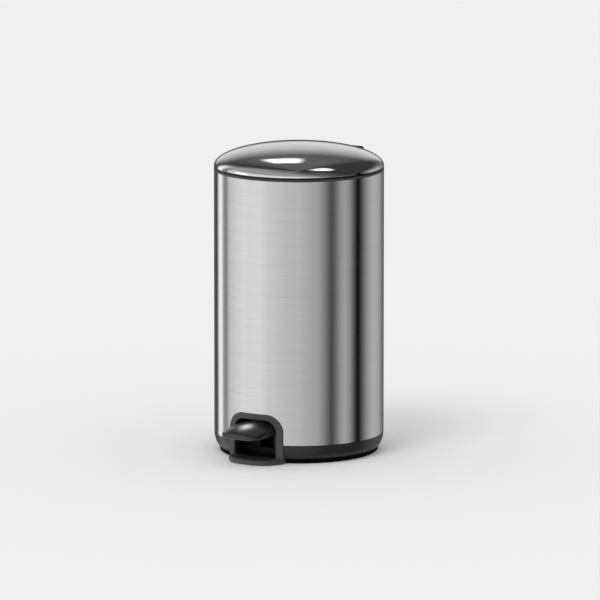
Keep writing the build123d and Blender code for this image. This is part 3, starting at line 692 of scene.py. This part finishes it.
# %% Camera
CAMERA_TURN = math.radians(32.0)
CAMERA_RISE = math.radians(10.0)
CAMERA_DISTANCE = 11.0
CAMERA_LENS = 448.0
CAMERA_REACH = 200.0
AIM = Vector((0.0013, 0.0008, 0.2227))

to_front = Vector((math.sin(CAMERA_TURN), -math.cos(CAMERA_TURN), 0.0))
to_right = Vector((math.cos(CAMERA_TURN), math.sin(CAMERA_TURN), 0.0))


def toward(turn, rise):
    """The direction at a turn to the right of the camera and a rise above the floor."""
    level = to_front * math.cos(turn) + to_right * math.sin(turn)
    return level * math.cos(rise) + Vector((0.0, 0.0, math.sin(rise)))


to_camera = toward(0.0, CAMERA_RISE)
lens = bpy.data.cameras.new("camera")
lens.lens = CAMERA_LENS
lens.clip_end = CAMERA_REACH
camera = bpy.data.objects.new("camera", lens)
camera.location = AIM + to_camera * CAMERA_DISTANCE
camera.rotation_euler = (-to_camera).to_track_quat("-Z", "Y").to_euler()
bpy.context.scene.collection.objects.link(camera)
bpy.context.scene.camera = camera
print("camera at", [round(x, 2) for x in camera.location])

# %% [markdown]
# Steel shows nothing but what stands round it. A photographer builds that on purpose: soft boxes
# for the light bands, black flags for the dark ones. Here they are painted on one large ball round
# the set, which only reflections can see. Round the horizon the bands go by turn from the camera.
# Higher up, a grey wall stands at the left, the right and the ceiling are dark, the back wall has
# its own levels from floor to ceiling, and soft boxes hang in between. All angles are in degrees.

# %% Studio levels
# A step is (amount, start, end), or (start, end) for a whole one. A slant is (turn for each degree
# of rise, rise where it is 0). A dip is (amount, middle, half width, soft edge).
BALL_RADIUS = 60.0
BALL_FINENESS = 5
BAND_STOPS = (
    (-180, 0.42), (-153, 0.05), (-146, 0.10), (-139, 1.20), (-131, 1.42), (-125, 0.42),
    (-117, 0.26), (-110, 0.84), (-80, 1.04), (-56, 1.10), (-40, 0.92), (-20, 0.77), (0, 0.70),
    (16, 0.61), (25, 0.58), (32, 0.46), (41, 0.14), (45, 0.0), (50, 0.16), (60, 0.70), (65, 0.86),
    (74, 0.60), (80, 0.18), (85, 0.0), (90, 0.0), (96, 0.13), (109, 0.50), (117, 0.67),
    (133, 0.60), (143, 0.46), (152, 0.24), (180, 0.10),
)
BAND_TOP = 1.5
BAND_FADE = (14, 42)
BAND_LEAN = (13.0, 20, 30)
BAND_DIP = (20.0, 56, 26, 6)
BACK_STOPS = (
    (-90, 0.08), (2, 0.10), (7, 0.88), (13, 0.80), (19, 0.65), (25, 0.38), (31, 0.14), (48, 0.17),
    (90, 0.14),
)
BACK_EDGES = ((156, 170), (-172, -146))
CEILING = 0.055
LEFT_WALL = 0.46
WALL_CORNER = (-158, -132)
CORNER_SLANT = (0.3, 10.0)
WALL_END = (0.8, -10, 50)
WALL_TAIL = (0.2, 40, 70)
END_SLANT = (0.6, 30.0)
WALL_TOP = (0.6, 56, 84)
UNDER_FADE = (-38, -19)
UNDER_LEFT = (0.4, -100, -60)
UNDER_RIGHT = (0.65, 15, 50)
# Each soft box: turn, rise, half its turn, half its rise, level.
SOFT_BOXES = (
    (-175, 43, 5.0, 5.0, 2.8),
    (131, 72, 20.0, 6.0, 2.1),
    (-86, 12, 10.0, 9.0, 0.9),
    (-14, 9, 22.0, 8.0, 0.35),
)
EDGE_SHARE = 0.5
print("studio with", len(BAND_STOPS), "band stops and", len(SOFT_BOXES), "soft boxes")


# %% [markdown]
# One shader puts the levels together, in the order in which they cover each other: the bands, the
# wall and the ceiling above them, the back wall, what lies under the horizon, and the soft boxes.

# %% Studio shader
def studio_light():
    material = bpy.data.materials.new("studio_light")
    material.use_nodes = True
    tree = material.node_tree
    tree.nodes.remove(tree.nodes["Principled BSDF"])
    wire = Wire(tree)
    place = wire.node("ShaderNodeTexCoord", output="Object")
    unit = wire.node("ShaderNodeVectorMath", {"operation": "NORMALIZE"}, {0: place})

    def along(direction):
        """How far a place on the ball lies in a direction, from -1 to 1."""
        product = {"operation": "DOT_PRODUCT"}
        return wire.node("ShaderNodeVectorMath", product, {0: unit, 1: direction}, "Value")

    def turn_from(angle):
        """The turn to the right of a direction that stands at an angle from the camera."""
        side = along(toward(math.radians(angle + 90), 0.0))
        ahead = along(toward(math.radians(angle), 0.0))
        return wire.math("ARCTAN2", side, ahead) * math.degrees(1)

    turn = turn_from(0)
    rise = wire.math("ARCSINE", along(Vector((0, 0, 1)))) * math.degrees(1)

    def ramp(angle, stops, low, high):
        """The level that stops give at an angle between two limits."""
        spread = [((at - low) / (high - low), level / BAND_TOP) for at, level in stops]
        share = (angle - low) * (1 / (high - low))
        shade = wire.node("ShaderNodeValToRGB", {"stops": spread}, {"Fac": share})
        return BAND_TOP * wire.node("ShaderNodeRGBToBW", None, {"Color": shade})

    def within(angle, middle, half, soft):
        """1 within half an angle's width of its middle, with soft edges."""
        start = angle.smooth(middle - half - soft, middle - half + soft)
        return start - angle.smooth(middle + half - soft, middle + half + soft)

    def step(angle, amount, start, end):
        """0 before start, an amount after end."""
        return amount * angle.smooth(start, end)

    bands = ramp(turn, BAND_STOPS, -180, 180)
    behind = ramp(rise, BACK_STOPS, -90, 90)
    tilt, level_at = CORNER_SLANT
    corner = (turn - tilt * (rise - level_at)).smooth(*WALL_CORNER)
    tilt, level_at = END_SLANT
    end = step(turn + tilt * (rise - level_at), *WALL_END)
    left = corner - end - step(turn, *WALL_TAIL)
    left = left * (1.0 - step(rise, *WALL_TOP))
    dip, *span = BAND_DIP
    lean = step(turn, *BAND_LEAN) + dip * within(turn, *span)
    above = (rise + lean).smooth(*BAND_FADE)
    high = CEILING + (LEFT_WALL - CEILING) * left
    light = bands + above * (high - bands)
    right_edge, left_edge = BACK_EDGES
    back = turn.smooth(*right_edge) + 1.0 - turn.smooth(*left_edge)
    light = light + back * (behind - light)
    under = 1.0 - rise.smooth(*UNDER_FADE)
    lift = UNDER_LEFT[0] - step(turn, *UNDER_LEFT)
    light = light + under * (lift - step(turn, *UNDER_RIGHT) * light)
    for middle, height, half_turn, half_rise, level in SOFT_BOXES:
        across = within(turn_from(middle), 0, half_turn, EDGE_SHARE * half_turn)
        upright = within(rise, height, half_rise, EDGE_SHARE * half_rise)
        light = light + level * across * upright
    glow = wire.node("ShaderNodeEmission", None, {"Color": light, "Strength": 1.0})
    wire.feed(tree.nodes["Material Output"].inputs["Surface"], glow)
    material.cycles.emission_sampling = "NONE"
    return material


def only_in_reflections(thing):
    """Hides a thing from everything but reflections."""
    thing.visible_camera = False
    thing.visible_diffuse = False
    thing.visible_transmission = False
    thing.visible_volume_scatter = False
    thing.visible_shadow = False


# %% Studio ball
work = bmesh.new()
bmesh.ops.create_icosphere(work, subdivisions=BALL_FINENESS, radius=BALL_RADIUS)
ball_mesh = bpy.data.meshes.new("studio_ball")
work.to_mesh(ball_mesh)
work.free()
ball = bpy.data.objects.new("studio_ball", ball_mesh)
bpy.context.scene.collection.objects.link(ball)
ball_mesh.materials.append(studio_light())
only_in_reflections(ball)
print("studio ball of radius", BALL_RADIUS, "m")

# %% [markdown]
# Two lights shape the plastic and the floor: an even white sky, and a broad sun from the left that
# throws a soft shadow to the right. Neither shows in the steel, because the ball stands for both
# there.

# %% Sky and sun
SKY = 0.902
SUN = 0.72
SUN_ANGLE = math.radians(24.0)
SUN_TURN = math.radians(-35.0)
SUN_RISE = math.radians(56.0)

world = bpy.data.worlds.new("even_sky")
world.use_nodes = True
backdrop = world.node_tree.nodes["Background"]
backdrop.inputs["Color"].default_value = (1.0, 1.0, 1.0, 1.0)
backdrop.inputs["Strength"].default_value = SKY
bpy.context.scene.world = world
bpy.context.scene.view_settings.view_transform = "Standard"

lamp = bpy.data.lights.new("soft_sun", "SUN")
lamp.energy = SUN
lamp.angle = SUN_ANGLE
sun = bpy.data.objects.new("soft_sun", lamp)
to_sun = toward(SUN_TURN, SUN_RISE)
sun.rotation_euler = (-to_sun).to_track_quat("-Z", "Y").to_euler()
sun.visible_glossy = False
bpy.context.scene.collection.objects.link(sun)
print("sun from", [round(x, 2) for x in to_sun])

# %% [markdown]
# Black plastic needs a lamp of its own to look round. This one is linked to the pedal alone, so the
# steel round it stays as it is, and nothing but the pedal can shade it.

# %% Lamp for the pedal
GLINT_TURN = math.radians(-173.0)
GLINT_RISE = math.radians(37.0)
GLINT_DISTANCE = 0.6
GLINT_SIZE = 0.10
GLINT_POWER = 0.9

pedal_low, pedal_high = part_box("pedal")
pedal_middle = (pedal_low + pedal_high) / 2
pedal_top = Vector((pedal_middle.x, pedal_middle.y, pedal_high.z))
glint_lamp = bpy.data.lights.new("pedal_glint", "AREA")
glint_lamp.shape = "DISK"
glint_lamp.size = GLINT_SIZE
glint_lamp.energy = GLINT_POWER
glint = bpy.data.objects.new("pedal_glint", glint_lamp)
to_glint = toward(GLINT_TURN, GLINT_RISE)
glint.location = pedal_top + to_glint * GLINT_DISTANCE
glint.rotation_euler = (-to_glint).to_track_quat("-Z", "Y").to_euler()
bpy.context.scene.collection.objects.link(glint)
pedal_only = bpy.data.collections.new("pedal_only")
pedal_only.objects.link(nodes["pedal"])
glint.light_linking.receiver_collection = pedal_only
glint.light_linking.blocker_collection = pedal_only
print("pedal lamp at", [round(x, 2) for x in glint.location])
